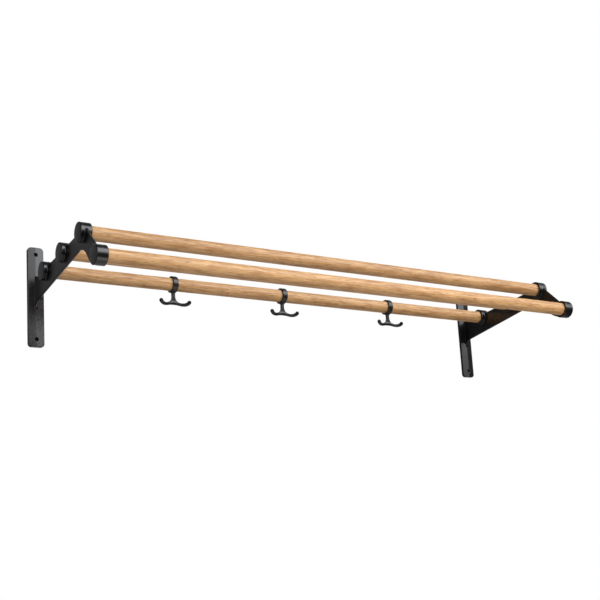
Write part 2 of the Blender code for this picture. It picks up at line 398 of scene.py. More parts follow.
@dataclass(frozen=True)
class Grain:
    """A pattern drawn out along a rod, and the limits between which it comes to show."""

    along: float
    across: float
    detail: float
    limits: Limits = (0.0, 1.0)

    def noise(self, graph: Graph, place: Value, result: str = "Fac") -> Value:
        """Return the plain pattern at a place."""
        return graph.noise(place, (self.along, self.across, self.across), self.detail, result)


@dataclass(frozen=True)
class Oak:
    """Light oak under clear satin lacquer, with growth rings, fibres, pores and small ray flecks."""

    name: str
    centre: Place
    shift: float
    turn: float
    pith: Place
    knots: tuple[Knot, ...] = ()
    # Painted light: a per-rod brightening of the same oak for rods that the lamps leave darker, strongest
    # on the middle rod in the top rod's shade.
    tone: Colour = (1.0, 1.0, 1.0)
    pale: Colour = (0.568, 0.328, 0.142)
    warm: Colour = (0.308, 0.143, 0.046)
    pore: Colour = (0.170, 0.072, 0.026)
    drift: Grain = Grain(2.6, 14.0, 2.0)
    fibre: Grain = Grain(16.0, 620.0, 3.0, (0.36, 0.66))
    streak: Grain = Grain(32.0, 230.0, 2.0, (0.36, 0.66))
    broad: Grain = Grain(9.0, 65.0, 2.0, (0.3, 0.7))
    dash: Grain = Grain(95.0, 1200.0, 1.0, (0.58, 0.70))
    ray: Grain = Grain(85.0, 520.0, 1.0, (0.60, 0.72))
    drift_reach: float = 0.012
    ring_step: float = 0.0034
    ring_fade: float = 0.42
    ring_onset: float = 0.94
    base_share: float = 0.10
    ring_share: float = 0.20
    fibre_share: float = 0.28
    streak_share: float = 0.50
    broad_share: float = 0.32
    late_pores: float = 0.25
    pore_share: float = 0.55
    fleck_share: float = 0.45
    specular: float = 0.54
    roughness: float = 0.52
    pore_roughness: float = 0.16
    fibre_roughness: float = 0.12
    pore_depth: float = 0.8
    fleck_depth: float = 0.2
    fibre_height: float = 0.25
    relief: float = 0.00012
    relief_strength: float = 0.35

    def toned(self, shade: Colour) -> Colour:
        """Return a shade of the oak scaled by this rod's tone, which is painted light: it brightens the
        rods that the lamps leave darker, the middle rod most.
        """
        return tuple(part * share for part, share in zip(shade, self.tone))

    def grown(self, graph: Graph, place: Value) -> Value:
        """Return a place moved across the grain, as the tree's growth wavers.

        Args:
            graph: Graph of the rod's material.
            place: A place in the rod's own cut of the tree.

        Returns:
            The moved place.
        """
        drift = graph.vector("SUBTRACT", self.drift.noise(graph, place, "Color"), (0.5,) * 3)
        across = (0.0, self.drift_reach, self.drift_reach)
        return graph.vector("ADD", place, graph.vector("MULTIPLY", drift, across))

    def early_wood(self, graph: Graph, grown: Value) -> Value:
        """Return the share of open early wood in the growth ring.

        Args:
            graph: Graph of the rod's material.
            grown: A place that grown() has moved.

        Returns:
            The share, from 0 to 1.
        """
        spread = graph.vector("MULTIPLY", graph.vector("SUBTRACT", grown, self.pith), (0.0, 1.0, 1.0))
        ring = (graph.length(spread) / self.ring_step) % 1.0
        return graph.ramp(ring, self.ring_fade, 0.0) + graph.ramp(ring, self.ring_onset, 1.0)

    def material(self) -> bpy.types.Material:
        """Return the wood as a new material, centred on its rod."""
        material, graph = new_material(self.name)
        own = graph.vector("SUBTRACT", graph.add("ShaderNodeTexCoord", result="Object"), self.centre)
        sockets = {"Vector": own, "Location": (self.shift, 0.0, 0.0), "Rotation": (self.turn, 0.0, 0.0)}
        place = graph.add("ShaderNodeMapping", {"vector_type": "TEXTURE"}, sockets)
        grown = self.grown(graph, place)
        early = self.early_wood(graph, grown)
        fibre = self.fibre.noise(graph, grown)
        streak = graph.ramp(self.streak.noise(graph, grown), *self.streak.limits)
        broad = graph.ramp(self.broad.noise(graph, place), *self.broad.limits)
        pores = graph.ramp(self.dash.noise(graph, place), *self.dash.limits)
        pores = pores * (self.late_pores + early * (1.0 - self.late_pores))
        flecks = graph.ramp(self.ray.noise(graph, place), *self.ray.limits)
        grain = early * self.ring_share + graph.ramp(fibre, *self.fibre.limits) * self.fibre_share
        grain = grain - self.base_share + streak * self.streak_share + broad * self.broad_share
        colour = graph.blend(grain, self.toned(self.pale), self.toned(self.warm))
        colour = graph.blend(pores * self.pore_share, colour, self.pore)
        colour = graph.blend(flecks * self.fleck_share, colour, self.pore)
        for knot in self.knots:
            colour = graph.blend(knot.share(graph, own), colour, self.pore)
        roughness = self.roughness + pores * self.pore_roughness + (fibre - 0.5) * self.fibre_roughness
        height = 1.0 - pores * self.pore_depth - flecks * self.fleck_depth + fibre * self.fibre_height
        bump = {"Height": height, "Strength": self.relief_strength, "Distance": self.relief}
        graph.dress(colour, roughness, bump, self.specular)
        return material


def union_round(first: np.ndarray, second: np.ndarray, radius: float) -> np.ndarray:
    """Return the distance to two joined solids with a fillet where they meet.

    Args:
        first: Signed distance to one solid.
        second: Signed distance to the other.
        radius: Radius of the fillet.

    Returns:
        Signed distance to the joined solid.
    """
    near = np.hypot(np.maximum(radius - first, 0), np.maximum(radius - second, 0))
    return np.maximum(radius, np.minimum(first, second)) - near


def common_round(first: np.ndarray, second: np.ndarray, radius: float) -> np.ndarray:
    """Return the distance to what two solids share, its new edge rounded.

    Args:
        first: Signed distance to one solid.
        second: Signed distance to the other.
        radius: Radius of the edge.

    Returns:
        Signed distance to the shared solid.
    """
    return -union_round(-first, -second, radius)


def cut_round(solid: np.ndarray, cutter: np.ndarray, radius: float) -> np.ndarray:
    """Return the distance to a solid less a cutter, with a rounded mouth."""
    return common_round(solid, -cutter, radius)


def outline_distance(outline: np.ndarray, across: np.ndarray, up: np.ndarray) -> np.ndarray:
    """Return the distance to a closed outline in its own plane.

    Args:
        outline: The outline's points in order, one row each.
        across: First coordinate of the places.
        up: Second coordinate of the places.

    Returns:
        Signed distance, negative inside.
    """
    nearest = np.full(np.broadcast(across, up).shape, np.inf)
    inside = np.zeros(nearest.shape, dtype=bool)
    for start, end in zip(outline, np.roll(outline, -1, axis=0)):
        run = end - start
        share = ((across - start[0]) * run[0] + (up - start[1]) * run[1]) / (run @ run)
        share = np.clip(share, 0, 1)
        gap = np.hypot(across - start[0] - share * run[0], up - start[1] - share * run[1])
        nearest = np.minimum(nearest, gap)
        rise = run[1] if run[1] else 1.0
        crossing = start[0] + (up - start[1]) / rise * run[0]
        inside ^= ((start[1] <= up) != (end[1] <= up)) & (across < crossing)
    return np.where(inside, -nearest, nearest)


def rounded_outline(corners: list[tuple[Vector, float]], steps: int = 14) -> np.ndarray:
    """Return an outline's points, each corner that has a radius made an arc.

    Args:
        corners: Corner points in order, each with its radius.
        steps: Steps of each arc.

    Returns:
        The points, one row each.
    """
    points = []
    count = len(corners)
    for index, (corner, radius) in enumerate(corners):
        if radius == 0:
            points.append(corner)
            continue
        last_point, last_radius = corners[index - 1]
        next_point, next_radius = corners[(index + 1) % count]
        before = last_point - corner
        after = next_point - corner
        room_before = before.length * (ARC_ROOM / 2 if last_radius else ARC_ROOM)
        room_after = after.length * (ARC_ROOM / 2 if next_radius else ARC_ROOM)
        half = before.angle(after) / 2
        reach = min(radius / math.tan(half), room_before, room_after)
        start = corner + before.normalized() * reach
        end = corner + after.normalized() * reach
        middle = (before.normalized() + after.normalized()).normalized()
        centre = corner + middle * (reach / math.cos(half))
        turn = (start - centre).angle_signed(end - centre)
        for step in range(steps + 1):
            points.append(centre + Matrix.Rotation(-turn * step / steps, 2) @ (start - centre))
    return np.array([tuple(point) for point in points])


def meeting_point(point_a: Vector, run_a: Vector, point_b: Vector, run_b: Vector) -> Vector:
    """Return where two lines of one plane cross.

    Args:
        point_a: A point of the first line.
        run_a: The first line's direction.
        point_b: A point of the second line.
        run_b: The second line's direction.

    Returns:
        The crossing point.
    """
    cross = run_a.x * run_b.y - run_a.y * run_b.x
    offset = point_b - point_a
    return point_a + run_a * ((offset.x * run_b.y - offset.y * run_b.x) / cross)


@dataclass(frozen=True)
class Skin:
    """A closed mesh of quads with the true normal at each point and named marks for the finish."""

    points: np.ndarray
    quads: np.ndarray
    normals: np.ndarray
    marks: dict[str, np.ndarray]

    def mirrored(self) -> "Skin":
        """Return the skin mirrored across X, still facing outwards."""
        flip = np.array((-1.0, 1.0, 1.0))
        return Skin(self.points * flip, self.quads[:, ::-1], self.normals * flip, self.marks)

    def to_object(self, name: str, shift: Place, material: bpy.types.Material) -> bpy.types.Object:
        """Make the skin a Blender object at the origin.

        Args:
            name: The object's name.
            shift: What is added to every point.
            material: The object's finish.

        Returns:
            The new object, linked to the scene.
        """
        mesh = bpy.data.meshes.new(name)
        mesh.from_pydata((self.points + np.array(shift)).tolist(), [], self.quads.tolist())
        mesh.polygons.foreach_set("use_smooth", [True] * len(mesh.polygons))
        for mark, amounts in self.marks.items():
            layer = mesh.attributes.new(mark, "FLOAT", "POINT")
            layer.data.foreach_set("value", amounts.astype(np.float32))
        mesh.normals_split_custom_set_from_vertices(self.normals.tolist())
        mesh.materials.append(material)
        return new_object(name, mesh)


@dataclass(frozen=True)
class SurfaceNet:
    """Meshes a signed distance with one point in each cell that its surface crosses."""

    step: float
    margin: float = 1.5
    rounds: int = 3
    settle_rounds: int = 3
    least_slope: float = 0.05
    least_move: float = 1e-12
    probe: float = 0.00004
    bend_probes: int = 6
    flat_bend: float = 150.0
    sharp_bend: float = 950.0

    def slope(self, distance: Distance, points: np.ndarray) -> np.ndarray:
        """Return the distance's gradient.

        Args:
            distance: Signed distance of X, Y and Z.
            points: The places, one row each.

        Returns:
            One row for each place.
        """
        parts = []
        for offset in np.eye(3) * self.probe:
            rise = distance(*(points + offset).T) - distance(*(points - offset).T)
            parts.append(rise / (2 * self.probe))
        return np.stack(parts, axis=1)

    def bend(self, distance: Distance, points: np.ndarray) -> np.ndarray:
        """Return how sharply the surface is rounded off.

        Args:
            distance: Signed distance of X, Y and Z.
            points: Places on the surface, one row each.

        Returns:
            A number for each place, from 0, flat, to 1.
        """
        reach = self.probe * self.bend_probes
        here = distance(*points.T)
        total = np.zeros(len(points))
        for offset in np.eye(3) * reach:
            total += distance(*(points + offset).T) + distance(*(points - offset).T) - 2 * here
        sharp = (total / reach**2 - self.flat_bend) / (self.sharp_bend - self.flat_bend)
        return np.clip(sharp, 0, 1)

    def settle(self, distance: Distance, points: np.ndarray) -> np.ndarray:
        """Move points onto the surface.

        Args:
            distance: Signed distance of X, Y and Z.
            points: Places near the surface, one row each.

        Returns:
            The moved points.
        """
        for _ in range(self.settle_rounds):
            slope = self.slope(distance, points)
            steepness = np.maximum((slope * slope).sum(axis=1), self.least_slope)
            move = slope * (distance(*points.T) / steepness)[:, None]
            size = np.maximum(np.linalg.norm(move, axis=1, keepdims=True), self.least_move)
            points = points - move * np.minimum(1.0, self.step / size)
        return points

    def quads(self, inside: np.ndarray, number: np.ndarray) -> np.ndarray:
        """Return the quads between the cells round each grid edge that the surface crosses.

        Args:
            inside: Whether each grid corner is inside the solid.
            number: The point's number in each crossed cell.

        Returns:
            Rows of four point numbers that face outwards.
        """
        rows = []
        for axis in range(3):
            first = np.take(inside, range(inside.shape[axis] - 1), axis)
            second = np.take(inside, range(1, inside.shape[axis]), axis)
            places = np.argwhere(first != second)
            outward = first[tuple(places.T)]
            ring = []
            for back_u, back_v in ((0, 0), (1, 0), (1, 1), (0, 1)):
                cell = places.copy()
                cell[:, (axis + 1) % 3] -= back_u
                cell[:, (axis + 2) % 3] -= back_v
                ring.append(number[tuple(cell.T)])
            faces = np.stack(ring, axis=1)
            rows.append(np.where(outward[:, None], faces, faces[:, ::-1]))
        return np.concatenate(rows)

    def evened(self, points: np.ndarray, quads: np.ndarray) -> np.ndarray:
        """Move each point halfway to the middle of its neighbours.

        Args:
            points: The mesh's points, one row each.
            quads: Rows of four point numbers.

        Returns:
            The moved points.
        """
        edges = np.concatenate([quads[:, [side, (side + 1) % 4]] for side in range(4)])
        ends = np.concatenate([edges, edges[:, ::-1]])
        count = np.bincount(ends[:, 0], minlength=len(points))
        sums = [np.bincount(ends[:, 0], points[ends[:, 1], axis], len(points)) for axis in range(3)]
        return (points + np.stack(sums, axis=1) / count[:, None]) / 2

    def skin(self, distance: Distance, low: np.ndarray, high: np.ndarray) -> Skin:
        """Mesh a signed distance inside a box.

        Args:
            distance: Signed distance of X, Y and Z, negative inside.
            low: The box's lowest corner.
            high: The box's highest corner.

        Returns:
            The solid's skin.
        """
        before = self.margin * self.step
        after = before + self.step
        axes = [np.arange(first - before, last + after, self.step) for first, last in zip(low, high)]
        inside = distance(*np.meshgrid(*axes, indexing="ij", sparse=True)) < 0
        corners = np.zeros([length - 1 for length in inside.shape], dtype=np.int8)
        for corner in np.ndindex(2, 2, 2):
            corners += inside[tuple(slice(at, at + length) for at, length in zip(corner, corners.shape))]
        crossed = (corners > 0) & (corners < CELL_CORNERS)
        number = np.full(corners.shape, -1)
        number[crossed] = np.arange(crossed.sum())
        start = np.array([axis[0] for axis in axes])
        points = self.settle(distance, start + (np.argwhere(crossed) + 0.5) * self.step)
        quads = self.quads(inside, number)
        for _ in range(self.rounds):
            points = self.settle(distance, self.evened(points, quads))
        normals = self.slope(distance, points)
        normals = normals / np.linalg.norm(normals, axis=1, keepdims=True)
        return Skin(points, quads, normals, {"edge": self.bend(distance, points)})


@dataclass(frozen=True)
class Layout:
    """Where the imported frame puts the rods' middle lines, the brackets and the hooks."""

    rods: dict[RodPlace, tuple[np.ndarray, np.ndarray]]

    @classmethod
    def from_frame(cls) -> "Layout":
        """Return the layout that the CAD nodes' boxes give."""
        return cls({rod: cls.box(rod.value) for rod in RodPlace})

    @staticmethod
    def box(node: str) -> tuple[np.ndarray, np.ndarray]:
        """Return a CAD node's lowest and highest corners."""
        low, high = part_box(node)
        return np.array(low), np.array(high)

    def axis(self, rod: RodPlace) -> Vector:
        """Return where a rod's middle line crosses the YZ plane.

        Args:
            rod: The rod.

        Returns:
            Its Y and Z.
        """
        low, high = self.rods[rod]
        middle = (low + high) / 2
        return Vector((middle[1], middle[2]))

    @property
    def rod_radius(self) -> float:
        """Return the rods' radius."""
        low, high = self.rods[RodPlace.REAR]
        return float(high[2] - low[2]) / 2


@dataclass
class Bracket:
    """One cast end bracket: a wall plate, a web and four bosses with blind sockets for the rods."""

    layout: Layout
    side: Side
    boss_length: float = 0.0190
    boss_rim: float = 0.0010
    boss_crown: float = 0.0004
    crown_floor: float = -0.5
    boss_fillet: float = 0.0022
    socket_floor: float = 0.0050
    socket_gap: float = 0.0003
    socket_mouth: float = 0.0004
    plate_edge: float = 0.0060
    plate_ridge: float = 0.0080
    plate_corner: float = 0.0065
    plate_round: float = 0.0008
    back_sharpness: float = 3.0
    ridge_round: float = 0.0006
    hole_radius: float = 0.00325
    hole_inset: float = 0.0136
    hole_mouth: float = 0.0005
    # A thin sheet of coat closes each screw hole between these two depths from the plate's back: painted
    # shade, a dark plug where a through-hole would show the shadowed wall.
    hole_floor: float = 0.0032
    hole_back: float = 0.0018
    web_thickness: float = 0.0040
    web_round: float = 0.0011
    web_above_row: float = 0.0053
    web_below_rear_rod: float = 0.0410
    underside_rise: float = math.radians(7.2)
    leg_front_at_row: float = 0.0119
    leg_front_at_boss: float = 0.0075
    leg_back_at_row: float = 0.0132
    leg_back_at_boss: float = 0.0300
    notch_radius: float = 0.0450
    heel_back: float = 0.0335
    heel_radius: float = 0.0600
    root_radius_top: float = 0.0080
    root_radius_bottom: float = 0.0200
    root_run: float = 1.4
    root_sink: float = 0.0009
    root_fillet: float = 0.0006
    cell: float = 0.00082

    @property
    def node(self) -> str:
        """Return the CAD node that the bracket stands for."""
        return "bracket_left" if self.side is Side.LEFT else "bracket_right"

    @cached_property
    def box(self) -> tuple[np.ndarray, np.ndarray]:
        """Return the CAD node's corners."""
        return self.layout.box(self.node)

    @property
    def middle(self) -> float:
        """Return where the web's middle plane crosses X."""
        return float(self.box[0][0] + self.box[1][0]) / 2

    @property
    def half_width(self) -> float:
        """Return half the plate's width."""
        return float(self.box[1][0] - self.box[0][0]) / 2

    @property
    def half_height(self) -> float:
        """Return half the plate's height."""
        return float(self.box[1][2] - self.box[0][2]) / 2

    @property
    def boss_radius(self) -> float:
        """Return the bosses' radius, from how far the front one reaches."""
        return float(self.layout.axis(RodPlace.FRONT).x - self.box[0][1])

    @cached_property
    def web_outline(self) -> np.ndarray:
        """Return the web's outline in the YZ plane, from the plate out to the front boss and back."""
        up = Vector((0, 1))
        rear = self.layout.axis(RodPlace.REAR)
        top = self.layout.axis(RodPlace.TOP)
        front = self.layout.axis(RodPlace.FRONT)
        ridge = Vector((self.root_sink - self.plate_ridge, 0))
        inside = -self.plate_edge / 2
        row = (top - rear).normalized()
        above_row = Vector((row.y, -row.x))
        leg = (front - top).normalized()
        ahead = Vector((leg.y, -leg.x))
        leg_front_top = top + ahead * self.leg_front_at_row
        leg_front_end = front + ahead * self.leg_front_at_boss
        leg_back_top = top - ahead * self.leg_back_at_row
        leg_back = front - ahead * self.leg_back_at_boss - leg_back_top
        under = Vector((-math.cos(self.underside_rise), math.sin(self.underside_rise)))
        row_edge = top + above_row * self.web_above_row
        root_low = Vector((ridge.x, rear.y - self.web_below_rear_rod))
        root_top = meeting_point(row_edge, row, ridge, up)
        peak = meeting_point(row_edge, row, leg_front_top, leg_front_end - leg_front_top)
        notch = meeting_point(root_low, under, leg_back_top, leg_back)
        heel = meeting_point(leg_back_top, leg_back, front + Vector((self.heel_back, 0)), up)
        reach = self.boss_radius - self.boss_rim
        spread = math.acos(reach / (heel - front).length)
        toe = front + Matrix.Rotation(-spread, 2) @ (heel - front).normalized() * reach
        above_root = root_top.y + self.root_run * self.root_radius_top
        below_root = root_low.y - self.root_run * self.root_radius_bottom
        return rounded_outline([
            (Vector((inside, above_root)), 0),
            (Vector((ridge.x, above_root)), 0),
            (root_top, self.root_radius_top),
            (peak, 0),
            (leg_front_end, 0),
            (front, 0),
            (toe, 0),
            (heel, self.heel_radius),
            (notch, self.notch_radius),
            (root_low, self.root_radius_bottom),
            (Vector((ridge.x, below_root)), 0),
            (Vector((inside, below_root)), 0),
        ])

    def plate(self, out: np.ndarray, y: np.ndarray, z: np.ndarray) -> np.ndarray:
        """Return the distance to the wall plate, whose two facets rise to a ridge.

        Args:
            out: Distance from the web's middle plane, positive away from the rods.
            y: Place along Y.
            z: Place along Z.

        Returns:
            Signed distance.
        """
        beyond_side = np.abs(out) - self.half_width + self.plate_corner
        beyond_end = np.abs(z) - self.half_height + self.plate_corner
        face = np.hypot(np.maximum(beyond_side, 0), np.maximum(beyond_end, 0))
        face = face + np.minimum(np.maximum(beyond_side, beyond_end), 0) - self.plate_corner
        fall = (self.plate_ridge - self.plate_edge) / self.half_width
        facet = -y - self.plate_ridge + fall * (np.hypot(out, self.ridge_round) - self.ridge_round)
        facet = facet / math.hypot(1, fall)
        front = common_round(face, facet, self.plate_round)
        return common_round(front, y, self.plate_round / self.back_sharpness)

    def web(self, out: np.ndarray, y: np.ndarray, z: np.ndarray) -> np.ndarray:
        """Return the distance to the web."""
        outline = outline_distance(self.web_outline, y, z)
        return common_round(outline, np.abs(out) - self.web_thickness / 2, self.web_round)

    def boss(self, out: np.ndarray, across: np.ndarray) -> np.ndarray:
        """Return the distance to a boss whose ends bulge slightly.

        Args:
            out: Distance from the web's middle plane, positive away from the rods.
            across: Distance from the boss's middle line.

        Returns:
            Signed distance.
        """
        crown = self.boss_crown * np.maximum(1 - (across / self.boss_radius) ** 2, self.crown_floor)
        ends = np.abs(out) - self.boss_length / 2 - crown
        return common_round(across - self.boss_radius, ends, self.boss_rim)

    def from_screw(self, out: np.ndarray, z: np.ndarray) -> np.ndarray:
        """Return the distance from the nearer screw's middle line."""
        return np.hypot(out, np.abs(z) - self.half_height + self.hole_inset)

    def distance(self, out: np.ndarray, y: np.ndarray, z: np.ndarray) -> np.ndarray:
        """Return the distance to the whole casting.

        Args:
            out: Distance from the web's middle plane, positive away from the rods.
            y: Place along Y.
            z: Place along Z.

        Returns:
            Signed distance.
        """
        solid = union_round(self.plate(out, y, z), self.web(out, y, z), self.root_fillet)
        reaches = []
        for rod in RodPlace:
            axis = self.layout.axis(rod)
            reaches.append(np.hypot(y - axis.x, z - axis.y))
            solid = union_round(solid, self.boss(out, reaches[-1]), self.boss_fillet)
        floor = self.boss_length / 2 - self.socket_floor
        for across in reaches:
            socket = np.maximum(across - self.layout.rod_radius - self.socket_gap, out - floor)
            solid = cut_round(solid, socket, self.socket_mouth)
        # The screw hole is cut everywhere except a thin sheet near the plate's back, which stays as painted
        # shade: a dark plug standing in for the wall's shadow.
        middle = (self.hole_floor + self.hole_back) / 2
        off_shade_plug = (self.hole_floor - self.hole_back) / 2 - np.abs(y + middle)
        hole = np.maximum(self.from_screw(out, z) - self.hole_radius, off_shade_plug)
        return cut_round(solid, hole, self.hole_mouth)

    def skin(self) -> Skin:
        """Return the casting's skin about its middle plane, for the right-hand end."""
        low = np.array((-self.half_width, self.box[0][1], self.box[0][2]))
        high = np.array((self.half_width, self.box[1][1], self.box[1][2]))
        skin = SurfaceNet(self.cell).skin(self.distance, low, high)
        # Painted shade mask: 1 inside each screw hole, fading out across its rounded mouth.
        depth = self.hole_radius + self.hole_mouth - self.from_screw(skin.points[:, 0], skin.points[:, 2])
        skin.marks["pit"] = np.clip(depth / self.hole_mouth, 0, 1)
        return skin

    def build(self, skin: Skin, coat: bpy.types.Material) -> bpy.types.Object:
        """Make this end's bracket and put it in place of its CAD node.

        Args:
            skin: The right-hand skin, shared by both ends.
            coat: The finish.

        Returns:
            The bracket.
        """
        skin = skin if self.side is Side.RIGHT else skin.mirrored()
        piece = skin.to_object(f"{self.node}_casting", (self.middle, 0.0, 0.0), coat)
        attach(piece, Body.FRAME.value)
        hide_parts(self.node)
        return piece


class RodTree:
    """Geometry Nodes tree of a rod: a straight line in short runs, swept with a round section."""

    def __init__(self) -> None:
        """Build the tree with its named inputs."""
        self.tree = bpy.data.node_groups.new("swept_rod", "GeometryNodeTree")
        graph = Graph(self.tree)
        kinds = {
            "Centre": "NodeSocketVector",
            "Length": "NodeSocketFloat",
            "Radius": "NodeSocketFloat",
            "Runs": "NodeSocketInt",
            "Facets": "NodeSocketInt",
            "Finish": "NodeSocketMaterial",
        }
        self.inputs = {name: self._input(name, kind) for name, kind in kinds.items()}
        self.tree.interface.new_socket("Geometry", in_out="OUTPUT", socket_type="NodeSocketGeometry")
        start = graph.node("NodeGroupInput")
        given = {name: Value(graph, start.outputs[name]) for name in self.inputs}
        reach = graph.add("ShaderNodeCombineXYZ", None, {"X": given["Length"] / 2.0})
        sockets = {
            "Start": graph.vector("SUBTRACT", given["Centre"], reach),
            "End": graph.vector("ADD", given["Centre"], reach),
        }
        line = graph.add("GeometryNodeCurvePrimitiveLine", None, sockets)
        line = graph.add("GeometryNodeResampleCurve", None, {"Curve": line, "Count": given["Runs"]})
        sockets = {"Resolution": given["Facets"], "Radius": given["Radius"]}
        section = graph.add("GeometryNodeCurvePrimitiveCircle", None, sockets)
        sockets = {"Curve": line, "Profile Curve": section, "Fill Caps": True}
        swept = graph.add("GeometryNodeCurveToMesh", None, sockets)
        whole = graph.add("GeometryNodeRealizeInstances", None, {"Geometry": swept})
        sockets = {"Geometry": whole, "Material": given["Finish"]}
        dressed = graph.add("GeometryNodeSetMaterial", None, sockets)
        graph.node("NodeGroupOutput", None, {"Geometry": dressed})

    def _input(self, name: str, kind: str) -> str:
        """Add a named input and return its identifier."""
        return self.tree.interface.new_socket(name, in_out="INPUT", socket_type=kind).identifier

    def sweep(self, name: str, values: dict[str, Any]) -> bpy.types.Object:
        """Run the tree once and keep its result as a plain mesh.

        Args:
            name: The new object's name.
            values: A value for each named input.

        Returns:
            The swept object, linked to the scene.
        """
        seed = new_object(f"{name}_seed", bpy.data.meshes.new(f"{name}_seed"))
        modifier = seed.modifiers.new("sweep", "NODES")
        modifier.node_group = self.tree
        for key, value in values.items():
            modifier[self.inputs[key]] = value
        graph = bpy.context.evaluated_depsgraph_get()
        mesh = bpy.data.meshes.new_from_object(seed.evaluated_get(graph), depsgraph=graph)
        mesh.name = name
        bpy.data.objects.remove(seed)
        return new_object(name, mesh)


@dataclass
class Rod:
    """One oak rod, which ends inside its two sockets."""

    layout: Layout
    place: RodPlace
    turn: float
    pith: tuple[float, float]
    shift: float
    # Painted light: brightens this rod's oak where the lamps leave it darker.
    tone: Colour = (1.0, 1.0, 1.0)
    knots: tuple[Knot, ...] = ()
    runs: int = 120
    facets: int = 96

    def finish(self, middle: np.ndarray) -> Oak:
        """Return the rod's own cut of oak.

        Args:
            middle: The rod's middle.

        Returns:
            The finish.
        """
        name = f"{self.place.value}_oak"
        centre = tuple(float(part) for part in middle)
        return Oak(name, centre, self.shift, self.turn, (0.0, *self.pith), self.knots, self.tone)

    def build(self, tree: RodTree) -> bpy.types.Object:
        """Sweep the rod and put it in place of its CAD node.

        Args:
            tree: The tree that sweeps all rods.

        Returns:
            The rod.
        """
        low, high = self.layout.rods[self.place]
        middle = (low + high) / 2
        values = {
            "Centre": middle.tolist(),
            "Length": float(high[0] - low[0]),
            "Radius": self.layout.rod_radius,
            "Runs": self.runs,
            "Facets": self.facets,
            "Finish": self.finish(middle).material(),
        }
        piece = tree.sweep(f"{self.place.value}_dowel", values)
        mesh = piece.data
        mesh.polygons.foreach_set("use_smooth", [len(face.vertices) == 4 for face in mesh.polygons])
        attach(piece, Body.FRAME.value)
        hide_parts(self.place.value)
        return piece


